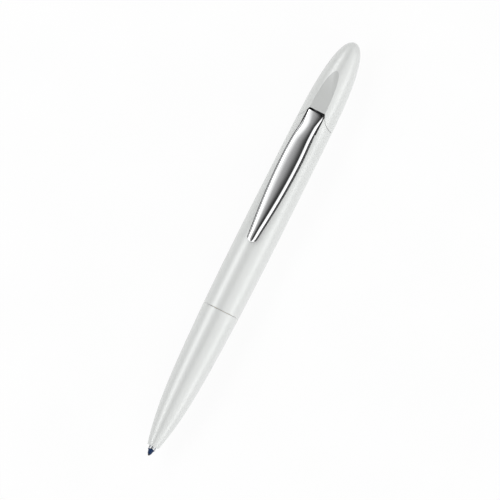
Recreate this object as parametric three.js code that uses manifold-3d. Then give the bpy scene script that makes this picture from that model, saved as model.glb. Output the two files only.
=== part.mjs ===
// A twist-action ballpoint pen whose upper end pulls off as a self-inking stamp head.
// The pen lies along X with its writing tip at -X and its clip on top (+Z). Millimetres.

import * as THREE from 'three';
import { mergeVertices } from 'three/addons/utils/BufferGeometryUtils.js';
import Module from 'manifold-3d';

const wasm = await Module();
wasm.setup();

// Overall sizes. Positions along the pen are counted from the writing tip.
const roundSides = 64;
const smallSides = 16;
const gap = 0.3;

// Front section, the part that the fingers hold and turn
const noseStart = 3.1;
const noseRadius = 1.87;
const noseSlope = 0.254;
const noseReach = 12.9;
const seamAt = 49.3;
const seamRadius = 5.92;
const gripReach = 19.7;
const gripSag = 0.57;
const noseHoleLength = 3.0;
const springRoomRadius = 2.6;
const springRoomTaper = 7.0;
const bushSeatDepth = 12.3;
const bushSeatAt = seamAt - bushSeatDepth;
const bushSeatRadius = 3.9;

// Refill and twist drive. The drive ends in front of a bulkhead, one stroke behind the refill.
const refillLength = 67;
const refillRadius = 1.18;
const refillWall = 0.25;
const stroke = 4.0;
const bulkheadThickness = 0.8;
const bulkheadAt = refillLength + stroke + gap;
const chamberStart = bulkheadAt + bulkheadThickness;
const ballRadius = 0.35;
const tipLength = 1.3;
const tipRadius = 0.85;
const collarLength = 4.0;
const spigotRadius = 0.5;
const spigotLength = 1.2;
const plugLength = 4.0;
const bushFrontWall = 1.2;
const guideRadius = 3.6;
const guideBore = 2.6;
const guideEnd = refillLength - 0.5;
const pusherLength = 10.5;
const pusherFront = refillLength - 11.7;
const lugWidth = 1.2;
const lugLength = 1.8;
const lugFront = refillLength - 8.4;
const lugReach = 4.3;
const camClear = 0.55;
const camEnd = bulkheadAt - 0.6;
const sleeveClear = 0.85;
const sleeveBore = 3.9;
const springWire = 0.2;
const springCoilRadius = 1.95;
const springCurls = 9;

// Barrel: its mouth lies a little above the folded stamp plate
const plateLength = 37.4;
const plateStart = chamberStart + gap;
const plateEnd = plateStart + plateLength;
const platePinAt = (plateStart + plateEnd) / 2;
const mouthMargin = 2.5;
const mouthAt = plateEnd + mouthMargin;
const mouthRadius = 5.92;
const bellyRise = 0.36;
const bellyReach = 20;
const topRise = 0.15;
const barrelWall = 0.72;
const barrelBore = Math.min(seamRadius, mouthRadius) - barrelWall;

// Cap of the stamp head
const capLength = 27.7;
const penLength = mouthAt + capLength;
const capReach = 12.2;
const crownRadius = 4.95;
const capWall = 0.75;
const capCrownWall = 3.0;
const crownLength = 5.5;

// Flat on the clip side of the cap, and the flare in the cap's edge below it
const clipRootHalf = 2.7;
const flareHeight = 4.1;
const ledgeAt = mouthAt + flareHeight;
const flatHeight = Math.sqrt(mouthRadius ** 2 - clipRootHalf ** 2);
const flatFall = 0.28;
const flatLength = 12.2;
const flareWide = mouthRadius - 0.02;
const flareBendWide = 3.5;
const flareBend = 1.3;

// Clip
const clipLength = 44.3;
const tongueEnd = ledgeAt - gap;
const clipTipAt = tongueEnd - clipLength;
const clipRootThickness = 0.45;
const clipRootDrop = 0.28;
const clipThickness = 1.4;
const clipTipThinning = 0.1;
const clipTipFall = 0.6;
const clipWidest = 3.3;
const clipWidestAt = tongueEnd - 16.6;
const clipTipHalf = 1.45;
const clipBevel = 0.4;
const clipCrown = 0.15;
const clipBendAt = tongueEnd - 7.3;
const clipBendLength = 3.8;
const notchLead = 0.6;
const clipTabThickness = 0.5;
const clipTabHalf = 1.5;
const clipTabFromEnd = 0.5;
const anchorThickness = 0.35;
const anchorLength = 4.8;

// Heights from the pen's axis, up towards the clip: the clip's root lies over its anchor plate,
// and the folded ink pad lies under that
const rootUnder = flatHeight - clipRootDrop - clipRootThickness;
const anchorTop = rootUnder - gap;
const anchorBottom = anchorTop - anchorThickness;
const padBackHeight = anchorBottom - gap;

// Folded stamp inside the barrel, built up from the arm at the bottom
const bundleRadius = barrelBore - gap - 0.05;
const chord = (height) => Math.sqrt(bundleRadius ** 2 - height ** 2);
const armHalf = 2.3;
const armHeight = 1.7;
const armWall = 0.5;
const armBottom = -chord(armHalf);
const armTop = armBottom + armHeight;
const armEarTop = armTop + 0.8;
const armEarLength = 2.8;
const armTail = 1.2;
const plateEarLength = 1.2;
const carrierThickness = 1.0;
const carrierBottom = armTop + gap;
const carrierTop = carrierBottom + carrierThickness;
const carrierHalf = chord(carrierBottom) - 0.15;
const backingThickness = 0.5;
const backingTop = carrierTop + backingThickness;
const dieHalf = chord(carrierTop) - 0.25;
const dieThickness = 0.9;
const dieTop = backingTop + dieThickness;
const textHeight = 0.2;
const textTop = dieTop + textHeight;
const textLines = 3;
const textBars = 9;
const padGap = 0.3;
const padThickness = 1.4;
const padProud = 0.05;
const padFace = textTop + padGap;
const holderFace = padFace + padProud;
const padBack = padFace + padThickness;
const padClear = 0.15;
const trayHalf = chord(padBack + padClear) - 0.4;
const padHalf = trayHalf - padClear;
const padEndCapLength = 1.5;
const padNeckHalf = 2.0;
const padBarEnd = plateEnd + 1.0;
const padPinAt = mouthAt + 1.7;
const padPinRadius = 0.4;
const padKnuckleRadius = 1.0;
const padPinHeight = padBackHeight - padKnuckleRadius;
const platePinHeight = armTop - 0.7;
const platePinRadius = 0.32;
const plateKnuckleRadius = 0.65;
const coilWire = 0.12;
const coilCurls = 2;

// Hinge bracket, collar and core in the head
const collarRadius = Math.min(barrelBore, mouthRadius - capWall) - gap;
const collarWall = 0.7;
const collarInner = collarRadius - collarWall;
const collarFront = mouthAt - 1.0;
const collarRingLength = 1.6;
const collarHoleRadius = 0.55;
const collarHoles = 5;
const bracketEnd = ledgeAt + collarRingLength;
const bracketRadius = collarInner - gap;
const bracketBase = 2.4;
const cheekInner = 2.3;
const cheekThickness = 0.75;
const cheekFront = mouthAt + 0.5;
const rivetAt = mouthAt + 2.7;
const rivetHeight = armEarTop - 1.15;
const rivetRadius = 0.45;
const rivetHeadRadius = 0.75;
const rivetHeadThickness = 0.35;
const headClear = 0.15;
const bracketLugHalf = 1.5;
const screwRadius = 0.7;
const screwHeadRadius = 1.4;
const screwHeadThickness = 0.6;
const screwLength = 6.5;
const coreLength = 15;
const coreAt = bracketEnd + gap;

// How far cutting blocks reach past the pieces they cut
const cutReach = 3 * mouthRadius;

// Finishes
const finish = (color, roughness, metalness) =>
  new THREE.MeshStandardMaterial({ color, roughness, metalness });
const pearlWhite = finish(0xe9ebe8, 0.28, 0.05);
const chrome = finish(0xc9ccce, 0.12, 1.0);
const steel = finish(0xb4b6b8, 0.3, 1.0);
const brass = finish(0xb39a55, 0.35, 1.0);
const navyMetal = finish(0x1d2a6b, 0.3, 0.7);
const blackPlastic = finish(0x1b1b1d, 0.45, 0.0);
const brownPlastic = finish(0x3a2a25, 0.5, 0.0);
const whitePlastic = finish(0xdcdcda, 0.5, 0.0);
const foam = finish(0x2a2c33, 0.9, 0.0);
const dieRubber = finish(0x5d6a78, 0.75, 0.0);
const inkFelt = finish(0x17181d, 0.95, 0.0);

// A closed solid from a geometry, and back again
function toSolid(geometry) {
  const bare = geometry.index ? geometry.toNonIndexed() : geometry.clone();
  bare.deleteAttribute('normal');
  bare.deleteAttribute('uv');
  const merged = mergeVertices(bare, 1e-4);
  const corners = merged.index.array;
  const kept = [];
  for (let i = 0; i < corners.length; i += 3) {
    const [a, b, c] = [corners[i], corners[i + 1], corners[i + 2]];
    if (a !== b && b !== c && c !== a) kept.push(a, b, c);
  }
  return new wasm.Manifold(new wasm.Mesh({
    numProp: 3,
    vertProperties: new Float32Array(merged.attributes.position.array),
    triVerts: new Uint32Array(kept),
  }));
}

function toGeometry(solid) {
  const { vertProperties, triVerts } = solid.getMesh();
  const geometry = new THREE.BufferGeometry();
  geometry.setAttribute('position', new THREE.BufferAttribute(new Float32Array(vertProperties), 3));
  geometry.setIndex(new THREE.BufferAttribute(new Uint32Array(triVerts), 1));
  geometry.computeVertexNormals();
  return geometry;
}

// A turned piece around the pen's axis. The outline is a list of [position, radius].
function turned(outline, sides = roundSides) {
  const points = outline.map(([at, radius]) => new THREE.Vector2(radius, at));
  if (THREE.ShapeUtils.area(points) < 0) points.reverse();
  const onAxis = points[0].x === 0 && points[points.length - 1].x === 0;
  if (!onAxis) points.push(points[0].clone());
  const geometry = new THREE.LatheGeometry(points, sides, Math.PI / sides);
  geometry.rotateZ(-Math.PI / 2);
  return geometry;
}

// A rod across the pen, along Y
function crossRod(at, height, radius, from, to, sides = smallSides) {
  const geometry = new THREE.CylinderGeometry(radius, radius, to - from, sides);
  geometry.translate(at, (from + to) / 2, height);
  return geometry;
}

function block(fromX, toX, fromY, toY, fromZ, toZ) {
  const geometry = new THREE.BoxGeometry(toX - fromX, toY - fromY, toZ - fromZ);
  geometry.translate((fromX + toX) / 2, (fromY + toY) / 2, (fromZ + toZ) / 2);
  return geometry;
}

// A plate drawn in plan (position, side) and raised from one height to another
function plan(points, fromZ, toZ) {
  const shape = new THREE.Shape(points.map(([x, y]) => new THREE.Vector2(x, y)));
  const geometry = new THREE.ExtrudeGeometry(shape, { depth: toZ - fromZ, bevelEnabled: false });
  geometry.translate(0, 0, fromZ);
  return geometry;
}

// A skin over a row of equal sections, closed at both ends
function loft(sections) {
  const count = sections[0].length;
  const positions = sections.flat(2);
  const index = [];
  for (let i = 0; i + 1 < sections.length; i += 1) {
    for (let j = 0; j < count; j += 1) {
      const a = i * count + j;
      const b = i * count + ((j + 1) % count);
      index.push(a, b, b + count, a, b + count, a + count);
    }
  }
  const last = (sections.length - 1) * count;
  for (let j = 1; j + 1 < count; j += 1) {
    index.push(0, j + 1, j, last, last + j, last + j + 1);
  }
  const geometry = new THREE.BufferGeometry();
  geometry.setAttribute('position', new THREE.Float32BufferAttribute(positions, 3));
  geometry.setIndex(index);
  const solid = toSolid(geometry);
  return solid.volume() < 0 ? toGeometry(toSolid(flipped(geometry))) : toGeometry(solid);
}

function flipped(geometry) {
  const other = geometry.clone();
  const corners = Array.from(other.index.array);
  for (let i = 0; i < corners.length; i += 3) {
    [corners[i], corners[i + 1]] = [corners[i + 1], corners[i]];
  }
  other.setIndex(corners);
  return other;
}

// A round wire wound around an axis, with its turns as one unbroken tube
function coil(centre, axis, radius, wire, from, to, curls, stepsPerCurl = 8, sides = 5) {
  const sections = [];
  const steps = Math.round(curls * stepsPerCurl);
  for (let i = 0; i <= steps; i += 1) {
    const angle = (i / steps) * curls * 2 * Math.PI;
    const along = from + wire + ((to - from - 2 * wire) * i) / steps;
    const ring = [];
    for (let j = 0; j < sides; j += 1) {
      const turn = (j / sides) * 2 * Math.PI;
      const reach = radius + wire * Math.cos(turn);
      const point = [reach * Math.cos(angle), reach * Math.sin(angle), along + wire * Math.sin(turn)];
      ring.push(axis === 'x'
        ? [point[2], centre[1] + point[0], centre[2] + point[1]]
        : [centre[0] + point[0], point[2], centre[2] + point[1]]);
    }
    sections.push(ring);
  }
  return loft(sections);
}

// Outline curves of the pen as [position, radius]
const curve = (...points) =>
  new THREE.CubicBezierCurve(...points.map(([at, radius]) => new THREE.Vector2(at, radius)));
const gripCurve = curve(
  [noseStart, noseRadius],
  [noseStart + noseReach, noseRadius + noseReach * noseSlope],
  [seamAt - gripReach, seamRadius - gripSag],
  [seamAt, seamRadius],
);
const barrelCurve = curve(
  [seamAt, seamRadius],
  [seamAt + bellyReach, seamRadius + bellyRise],
  [ledgeAt - bellyReach, mouthRadius + topRise],
  [ledgeAt, mouthRadius],
);
const capCurve = curve(
  [mouthAt, mouthRadius],
  [mouthAt + capReach, mouthRadius],
  [penLength, crownRadius],
  [penLength, 0],
);

// Radius of an outline curve at a position, by halving the curve's parameter
function radiusAt(outline, at) {
  let low = 0;
  let high = 1;
  for (let i = 0; i < 40; i += 1) {
    const middle = (low + high) / 2;
    if (outline.getPoint(middle).x < at) low = middle;
    else high = middle;
  }
  return outline.getPoint((low + high) / 2).y;
}

function along(outline, from, to, steps, inward = 0) {
  const list = [];
  for (let i = 0; i <= steps; i += 1) {
    const at = from + ((to - from) * i) / steps;
    list.push([at, radiusAt(outline, at) - inward]);
  }
  return list;
}

// Ends of the barrel and of the front section
const seamGap = gap / 2;
const barrelFront = seamAt + seamGap;
const frontEnd = seamAt - seamGap;
const barrelEnd = mouthAt - gap;
const barrelOutline = along(barrelCurve, barrelFront, barrelEnd, 22);
const beltRadius = Math.max(...barrelOutline.map(([, radius]) => radius));

const pen = new THREE.Group();
pen.position.set(-penLength / 2, 0, beltRadius * Math.cos(Math.PI / roundSides));

function add(name, geometry, material) {
  const mesh = new THREE.Mesh(geometry, material);
  mesh.name = name;
  pen.add(mesh);
}

// Front section: a tapered shell, stepped inside for the spring and for the threaded bush
const noseHole = refillRadius + gap;
add('front_section', turned([
  ...along(gripCurve, noseStart, frontEnd, 22),
  [frontEnd, bushSeatRadius],
  [bushSeatAt, bushSeatRadius],
  [bushSeatAt, springRoomRadius],
  [noseStart + noseHoleLength + springRoomTaper, springRoomRadius],
  [noseStart + noseHoleLength, noseHole],
  [noseStart, noseHole],
]), pearlWhite);

// Threaded bush in the rear of the front section, with a keyway that turns the refill holder
const bushFront = bushSeatAt + gap;
const bushBody = toSolid(turned([
  [bushFront, bushSeatRadius - gap],
  [guideEnd, guideRadius],
  [guideEnd, guideBore],
  [bushFront + bushFrontWall, guideBore],
  [bushFront + bushFrontWall, noseHole],
  [bushFront, noseHole],
]));
const keyway = toSolid(block(lugFront - gap, guideEnd + 1, -(lugWidth / 2 + gap), lugWidth / 2 + gap,
  0, guideRadius + 1));
add('front_bush', toGeometry(bushBody.subtract(keyway)), brass);

// Sleeve that the bush screws into, fixed in the lower end of the barrel
const sleeveEnd = lugFront - sleeveClear;
add('barrel_sleeve', turned([
  [barrelFront + gap, barrelBore - gap],
  [sleeveEnd, barrelBore - gap],
  [sleeveEnd, sleeveBore],
  [barrelFront + gap, sleeveBore],
]), brass);

// Refill: tube, rear plug, front collar, blue tip and ball
const tipEnd = ballRadius * 1.3 + tipLength;
const collarEnd = tipEnd + 0.15 + collarLength;
add('writing_ball', new THREE.SphereGeometry(ballRadius, 16, 10).translate(ballRadius, 0, 0), steel);
add('writing_tip', turned([
  [ballRadius * 1.3, ballRadius + 0.2],
  [tipEnd, tipRadius],
  [tipEnd, spigotRadius],
  [tipEnd + spigotLength, spigotRadius],
  [tipEnd + spigotLength, 0],
  [ballRadius * 2 + 0.2, 0],
  [ballRadius * 2 + 0.2, ballRadius + 0.05],
  [ballRadius * 1.3, ballRadius + 0.1],
], 24), navyMetal);
add('tip_collar', turned([
  [tipEnd + 0.15, tipRadius + 0.05],
  [tipEnd + 0.6, refillRadius],
  [collarEnd, refillRadius],
  [collarEnd, 0],
  [tipEnd + spigotLength + gap, 0],
  [tipEnd + spigotLength + gap, spigotRadius + 0.15],
  [tipEnd + 0.15, spigotRadius + 0.15],
], 24), steel);
add('refill_tube', turned([
  [collarEnd + gap, refillRadius],
  [refillLength, refillRadius],
  [refillLength, refillRadius - refillWall],
  [collarEnd + gap, refillRadius - refillWall],
], 20), brass);
add('refill_plug', turned([
  [refillLength - gap - plugLength, 0],
  [refillLength - gap - plugLength, refillRadius - refillWall - 0.2],
  [refillLength - gap, refillRadius - refillWall - 0.2],
  [refillLength - gap, 0],
], 20), whitePlastic);

// Holder that grips the refill and carries the lug that the cam drives
const pusherBody = toSolid(turned([
  [pusherFront, guideBore - gap],
  [pusherFront + pusherLength, guideBore - gap],
  [pusherFront + pusherLength, refillRadius + 0.15],
  [pusherFront, refillRadius + 0.15],
]));
const lug = toSolid(block(lugFront, lugFront + lugLength, -lugWidth / 2, lugWidth / 2, 1.8, lugReach));
add('refill_pusher', toGeometry(pusherBody.add(lug)), whitePlastic);

// Cam tube fixed in the barrel, with a front edge that falls away half a turn either side of the top
function rampedTube(inner, outer, peak, drop, end, sides) {
  const sections = [];
  for (let i = 0; i < sides; i += 1) {
    const angle = ((i + 0.5) / sides) * 2 * Math.PI;
    const away = Math.min(angle, 2 * Math.PI - angle) / Math.PI;
    const front = peak + drop * away;
    const [y, z] = [Math.sin(angle), Math.cos(angle)];
    sections.push([
      [front, outer * y, outer * z], [end, outer * y, outer * z],
      [end, inner * y, inner * z], [front, inner * y, inner * z],
    ]);
  }
  const index = [];
  for (let i = 0; i < sides; i += 1) {
    const next = (i + 1) % sides;
    for (let j = 0; j < 4; j += 1) {
      const [a, b] = [i * 4 + j, i * 4 + ((j + 1) % 4)];
      const [c, d] = [next * 4 + ((j + 1) % 4), next * 4 + j];
      index.push(a, b, c, a, c, d);
    }
  }
  const geometry = new THREE.BufferGeometry();
  geometry.setAttribute('position', new THREE.Float32BufferAttribute(sections.flat(2), 3));
  geometry.setIndex(index);
  return toSolid(geometry).volume() < 0 ? flipped(geometry) : geometry;
}
add('twist_cam', rampedTube(sleeveBore, barrelBore - gap, lugFront + lugLength + camClear, stroke,
  camEnd, roundSides), blackPlastic);

// Bulkhead between the twist drive and the stamp chamber
add('bulkhead', turned([
  [bulkheadAt, 0],
  [bulkheadAt, barrelBore - gap],
  [chamberStart, barrelBore - gap],
  [chamberStart, 0],
]), blackPlastic);

// Return spring around the refill
add('return_spring', coil([0, 0, 0], 'x', springCoilRadius, springWire, bushFront + bushFrontWall + gap,
  pusherFront - gap, springCurls), steel);

// Edge of the flare in plan, as half a window, moved back by a clearance
function flareOutline(back, from) {
  const edge = new THREE.QuadraticBezierCurve(
    new THREE.Vector2(mouthAt - back, flareWide - back),
    new THREE.Vector2(mouthAt + flareBend - back, flareBendWide - back),
    new THREE.Vector2(ledgeAt - back, clipRootHalf - back),
  ).getPoints(10).map((p) => [p.x, p.y]);
  return [
    [from, flareWide - back],
    ...edge,
    ...edge.map(([x, y]) => [x, -y]).reverse(),
    [from, -(flareWide - back)],
  ];
}

// Barrel: a shell whose upper edge carries a tongue under the clip, notched for the clip's root
const tube = toSolid(turned([
  ...barrelOutline,
  [barrelEnd, barrelBore],
  [barrelFront, barrelBore],
]));
const tongueTube = toSolid(turned([
  ...along(barrelCurve, barrelEnd - 1, tongueEnd, 4),
  [tongueEnd, barrelBore],
  [barrelEnd - 1, barrelBore],
]));
const tongue = tongueTube.intersect(toSolid(plan(flareOutline(gap, barrelEnd - 1), 0, cutReach)));
const notch = toSolid(block(clipBendAt + notchLead, ledgeAt, -(clipRootHalf + gap), clipRootHalf + gap,
  0, cutReach));
add('barrel', toGeometry(tube.add(tongue).subtract(notch)), pearlWhite);

// Plate in the notch that the clip's tab hooks into
const tabAt = tongueEnd - clipTabFromEnd - clipTabThickness;
const anchorPlate = toSolid(block(tongueEnd - anchorLength, tongueEnd - 0.1, -clipRootHalf, clipRootHalf,
  anchorBottom, anchorTop));
const tabSlot = toSolid(block(tabAt - gap, ledgeAt, -(clipTabHalf + gap), clipTabHalf + gap,
  0, cutReach));
add('clip_anchor', toGeometry(anchorPlate.subtract(tabSlot)), steel);

// Clip: bevelled and slightly crowned across, level along the barrel and bent down at its root
const { clamp, lerp } = THREE.MathUtils;
const smooth = (t) => t * t * (3 - 2 * t);
const clipUnder = beltRadius + gap;
const bendShare = (at) => smooth(clamp((at - clipBendAt) / clipBendLength, 0, 1));
function clipBottom(at) {
  return lerp(clipUnder, rootUnder, bendShare(at));
}
function clipThick(at) {
  const thinning = clipTipThinning * (1 - smooth(clamp((at - clipTipAt) / (clipWidestAt - clipTipAt), 0, 1)));
  const round = Math.min(1, (at - clipTipAt) / clipTipHalf);
  const fall = clipTipFall * (1 - Math.sqrt(1 - (1 - round) ** 2));
  return lerp(clipThickness - thinning - fall, clipRootThickness, bendShare(at));
}
function clipHalf(at) {
  const fromTip = at - clipTipAt;
  const round = fromTip < clipTipHalf
    ? Math.sqrt(Math.max(0, 1 - ((clipTipHalf - fromTip) / clipTipHalf) ** 2)) : 1;
  const body = at < clipWidestAt
    ? lerp(clipTipHalf, clipWidest, Math.sin((Math.PI / 2) * ((at - clipTipAt) / (clipWidestAt - clipTipAt))))
    : lerp(clipWidest, clipRootHalf, smooth((at - clipWidestAt) / (tongueEnd - clipWidestAt)));
  return Math.max(0.25, body * round);
}
function clipSection(at) {
  const half = clipHalf(at);
  const thick = clipThick(at);
  const bottom = clipBottom(at);
  const top = bottom + thick;
  const bevel = Math.min(clipBevel, half * 0.5, thick * 0.7);
  const crown = clipCrown * Math.min(1, half / clipRootHalf) * (thick / clipThickness);
  const flat = half - bevel;
  const section = [];
  for (let i = 0; i <= 6; i += 1) {
    const side = -1 + i / 3;
    section.push([at, side * flat, top - crown * side * side]);
  }
  section.push([at, half, top - crown - bevel]);
  section.push([at, half, bottom]);
  section.push([at, -half, bottom]);
  section.push([at, -half, top - crown - bevel]);
  return section;
}
const clipStations = [0, 0.07, 0.2, 0.4, 0.7, 1].map((share) => clipTipAt + share * clipTipHalf);
const clipStraightAt = clipTipAt + clipTipHalf;
for (let i = 1; i <= 14; i += 1) {
  clipStations.push(lerp(clipStraightAt, clipBendAt, i / 14));
}
for (let i = 1; i <= 6; i += 1) {
  clipStations.push(clipBendAt + (clipBendLength * i) / 6);
}
clipStations.push(tongueEnd);
const clipBody = toSolid(loft(clipStations.map(clipSection)));
const clipTab = toSolid(block(tabAt, tabAt + clipTabThickness, -clipTabHalf, clipTabHalf,
  anchorBottom + 0.05, rootUnder + clipRootThickness / 2));
add('clip', toGeometry(clipBody.add(clipTab)), chrome);

// Cap: a shell with a domed crown, a flat on the clip side and a flared edge below the flat
const cavityEnd = penLength - capCrownWall;
const capShell = toSolid(turned([
  ...along(capCurve, mouthAt, penLength - crownLength, 10),
  ...capCurve.getPoints(30).filter((p) => p.x > penLength - crownLength + 0.3).map((p) => [p.x, p.y]),
  [mouthAt, 0],
]));
const cavityCurve = along(capCurve, mouthAt - 1, cavityEnd - 4, 10, capWall);
cavityCurve[0] = [mouthAt - 1, cavityCurve[1][1]];
const cavity = toSolid(turned([[mouthAt - 1, 0], ...cavityCurve, [cavityEnd, 1.5], [cavityEnd, 0]]));
function flatBlock(below, from) {
  const slope = -flatFall / flatLength;
  const heightAt = (x) => flatHeight - below + slope * (x - ledgeAt);
  const shape = new THREE.Shape([
    new THREE.Vector2(from, heightAt(from)),
    new THREE.Vector2(penLength + 5, heightAt(penLength + 5)),
    new THREE.Vector2(penLength + 5, cutReach),
    new THREE.Vector2(from, cutReach),
  ]);
  const geometry = new THREE.ExtrudeGeometry(shape, { depth: 2 * cutReach, bevelEnabled: false });
  geometry.rotateX(Math.PI / 2);
  geometry.translate(0, cutReach, 0);
  return toSolid(geometry);
}
const flareCut = toSolid(plan(flareOutline(0, mouthAt - 2), 0, cutReach));
const capSolid = capShell
  .subtract(cavity.subtract(flatBlock(capWall, mouthAt - 5)))
  .subtract(flatBlock(0, ledgeAt))
  .subtract(flareCut);
add('cap', toGeometry(capSolid), pearlWhite);

// Core that fills the cap and takes the screw
const coreOutline = along(capCurve, coreAt, coreAt + coreLength, 6, capWall + gap);
const screwHole = screwRadius + gap;
const coreSolid = toSolid(turned([
  [coreAt, screwHole], ...coreOutline, [coreAt + coreLength, 0],
  [coreAt + screwLength, 0], [coreAt + screwLength, screwHole],
]));
add('head_core', toGeometry(coreSolid.subtract(flatBlock(capWall + gap, coreAt - 5))), blackPlastic);

// Collar: a full ring inside the cap and a half ring below, which guides the head into the barrel
const collarRing = toSolid(turned([
  [collarFront, collarInner], [collarFront, collarRadius],
  [bracketEnd, collarRadius], [bracketEnd, collarInner],
]));
const padWay = toSolid(block(collarFront - 1, ledgeAt + 0.2, -cutReach, cutReach, gap, cutReach));
const ringTop = flatBlock(capWall + gap, mouthAt - 5);
const rivetHalf = armHalf + headClear + rivetHeadThickness;
const armWay = toSolid(block(collarFront - 1, rivetAt + armTail + gap, -(rivetHalf + gap),
  rivetHalf + gap, -cutReach, 0));
let collarSolid = collarRing.subtract(padWay).subtract(ringTop).subtract(armWay);
for (let i = 0; i < collarHoles; i += 1) {
  const angle = Math.PI * (0.16 + (0.68 * i) / (collarHoles - 1));
  const drill = new THREE.CylinderGeometry(collarHoleRadius, collarHoleRadius, 4, 10);
  drill.translate(0, collarRadius, 0);
  drill.rotateX(Math.PI + angle - Math.PI / 2);
  drill.translate((mouthAt + collarFront) / 2 + 2.4, 0, 0);
  collarSolid = collarSolid.subtract(toSolid(drill));
}
add('head_collar', toGeometry(collarSolid), steel);

// Hinge bracket: a round base, two cheeks for the pad's pin and a lug for the arm
const baseAt = bracketEnd - bracketBase;
const cheekOuter = cheekInner + cheekThickness;
const bracketRound = toSolid(turned([
  [baseAt, 0], [baseAt, bracketRadius], [bracketEnd, bracketRadius], [bracketEnd, 0],
]));
const cheekTop = padPinHeight + 0.95;
const cheeks = [-1, 1].map((side) => toSolid(block(cheekFront, baseAt + 0.5,
  side > 0 ? cheekInner : -cheekOuter, side > 0 ? cheekOuter : -cheekInner, -1.2, cheekTop)));
const armLug = toSolid(block(rivetAt - 1.4, bracketEnd - 0.5, -bracketLugHalf, bracketLugHalf,
  armBottom + armWall + gap, -(screwHeadRadius + gap)));
const armRoom = toSolid(block(baseAt - 1, bracketEnd - 1.0, -(armHalf + gap), armHalf + gap,
  -cutReach, armEarTop + gap));
const bracketSolid = bracketRound.subtract(armRoom).add(cheeks[0]).add(cheeks[1]).add(armLug)
  .subtract(toSolid(crossRod(padPinAt, padPinHeight, padPinRadius + 0.15, -cutReach, cutReach)))
  .subtract(toSolid(crossRod(rivetAt, rivetHeight, rivetRadius + 0.15, -cutReach, cutReach)))
  .subtract(toSolid(turned([[baseAt - 1, 0], [baseAt - 1, screwHole], [bracketEnd + 1, screwHole],
    [bracketEnd + 1, 0]], smallSides)));
add('hinge_bracket', toGeometry(bracketSolid), blackPlastic);

// Screw through the bracket's base into the core
const screwFront = baseAt - gap - screwHeadThickness;
add('bracket_screw', turned([
  [screwFront, 0], [screwFront, screwHeadRadius],
  [screwFront + screwHeadThickness, screwHeadRadius], [screwFront + screwHeadThickness, screwRadius],
  [coreAt + screwLength - gap, screwRadius], [coreAt + screwLength - gap, 0],
], smallSides), steel);

// Arm: a channel that carries the stamp plate, with ears at both ends
const armFront = platePinAt - plateEarLength;
const armEnd = rivetAt + armTail;
const armShell = toSolid(block(armFront, armEnd, -armHalf, armHalf, armBottom, armTop))
  .add(toSolid(block(armEnd - armEarLength, armEnd, -armHalf, armHalf, armBottom, armEarTop)));
const channel = toSolid(block(armFront - 1, armEnd + 1, -(armHalf - armWall), armHalf - armWall,
  armBottom + armWall, 0));
const earRoom = toSolid(block(armFront - 1, platePinAt + plateEarLength + 0.7,
  -(armHalf - armWall), armHalf - armWall, -cutReach, 0));
const armSolid = armShell.subtract(channel).subtract(earRoom)
  .subtract(toSolid(crossRod(platePinAt, platePinHeight, platePinRadius + 0.15, -cutReach, cutReach)))
  .subtract(toSolid(crossRod(rivetAt, rivetHeight, rivetRadius + 0.15, -cutReach, cutReach)));
add('arm', toGeometry(armSolid), blackPlastic);

function headedPin(at, height, radius, half, headRadius, headThickness) {
  const shaft = toSolid(crossRod(at, height, radius, -half, half));
  const head = toSolid(crossRod(at, height, headRadius, half - 0.05, half + headThickness));
  const tail = toSolid(crossRod(at, height, headRadius, -half - headThickness, -half + 0.05));
  return toGeometry(shaft.add(head).add(tail));
}
add('arm_rivet', headedPin(rivetAt, rivetHeight, rivetRadius, armHalf + headClear, rivetHeadRadius,
  rivetHeadThickness), steel);
add('plate_pin', toGeometry(toSolid(crossRod(platePinAt, platePinHeight, platePinRadius,
  -armHalf - headClear, armHalf + headClear))), steel);

// Stamp plate: carrier with its pivot lug, cushion and rubber die with raised lines of bars
const carrierPlate = toSolid(block(plateStart, plateEnd, -carrierHalf, carrierHalf,
  carrierBottom, carrierTop));
const lugFrom = -(armHalf - armWall - gap);
const carrierLug = toSolid(crossRod(platePinAt, platePinHeight, plateKnuckleRadius, lugFrom, -0.1))
  .add(toSolid(block(platePinAt - 0.6, platePinAt + 0.6, lugFrom, -0.1, platePinHeight,
    carrierBottom + 0.2)));
add('plate_carrier', toGeometry(carrierPlate.add(carrierLug)
  .subtract(toSolid(crossRod(platePinAt, platePinHeight, platePinRadius + 0.15, -cutReach, cutReach)))),
blackPlastic);
add('plate_spring', coil([platePinAt, 0, platePinHeight], 'y', 0.62, coilWire, 0.15, 1.45, coilCurls),
  steel);
add('die_backing', block(plateStart, plateEnd, -dieHalf, dieHalf, carrierTop, backingTop), foam);
let dieSolid = toSolid(block(plateStart, plateEnd, -dieHalf, dieHalf, backingTop, dieTop));
const textPitch = (2 * padHalf) / textLines;
const barPitch = (plateLength - 3) / textBars;
for (let line = 0; line < textLines; line += 1) {
  for (let bar = 0; bar < textBars; bar += 1) {
    const from = plateStart + 1.5 + bar * barPitch;
    const length = barPitch * (0.45 + 0.35 * Math.abs(Math.sin(2.1 * bar + 1.3 * line)));
    const middle = -padHalf + (line + 0.5) * textPitch;
    dieSolid = dieSolid.add(toSolid(block(from, from + length, middle - 0.65, middle + 0.65,
      dieTop - 0.1, textTop)));
  }
}
add('text_die', toGeometry(dieSolid), dieRubber);

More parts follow.
